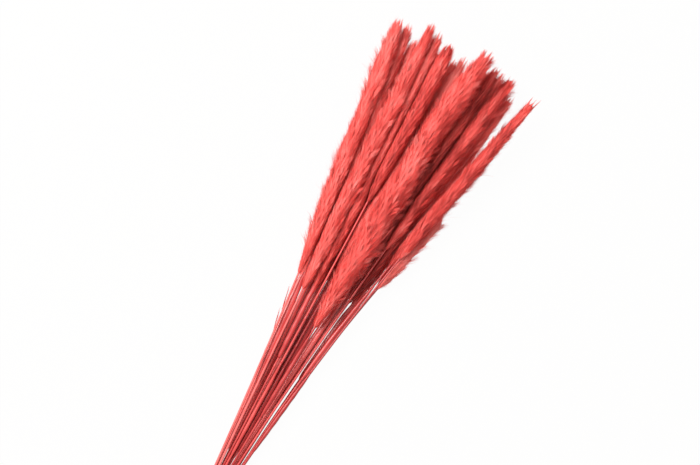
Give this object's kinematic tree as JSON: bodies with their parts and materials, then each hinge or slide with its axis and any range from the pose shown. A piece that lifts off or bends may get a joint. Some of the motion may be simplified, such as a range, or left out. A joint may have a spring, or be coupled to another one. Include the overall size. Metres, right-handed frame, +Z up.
{
  "type": "dyed dried pampas grass bunch",
  "caption": "Loose bunch of dried reed grass dyed coral red, long soft plumes fanning out from straight stems, lying on its side.",
  "frame": {"origin": "on the surface that the bunch lies on, at the middle of the box of the whole bunch", "axes": "+X along the bunch from the cut stem ends to the plume tips, +Y to the left seen from above with the tips ahead, +Z up"},
  "size_m": [0.6609, 0.174, 0.0683],
  "materials": {
    "dyed_grass": "matte dry plume and satin straw"
  },
  "bodies": {
    "root": {"reed_01": "dyed_grass", "reed_02": "dyed_grass", "reed_03": "dyed_grass", "reed_04": "dyed_grass", "reed_05": "dyed_grass", "reed_06": "dyed_grass", "reed_07": "dyed_grass", "reed_08": "dyed_grass", "reed_09": "dyed_grass", "reed_10": "dyed_grass", "reed_11": "dyed_grass", "reed_12": "dyed_grass", "reed_13": "dyed_grass", "reed_14": "dyed_grass", "reed_15": "dyed_grass", "reed_16": "dyed_grass", "reed_17": "dyed_grass", "reed_18": "dyed_grass", "reed_19": "dyed_grass", "reed_20": "dyed_grass", "reed_21": "dyed_grass", "reed_22": "dyed_grass", "reed_23": "dyed_grass", "reed_24": "dyed_grass"}
  },
  "joints": []
}
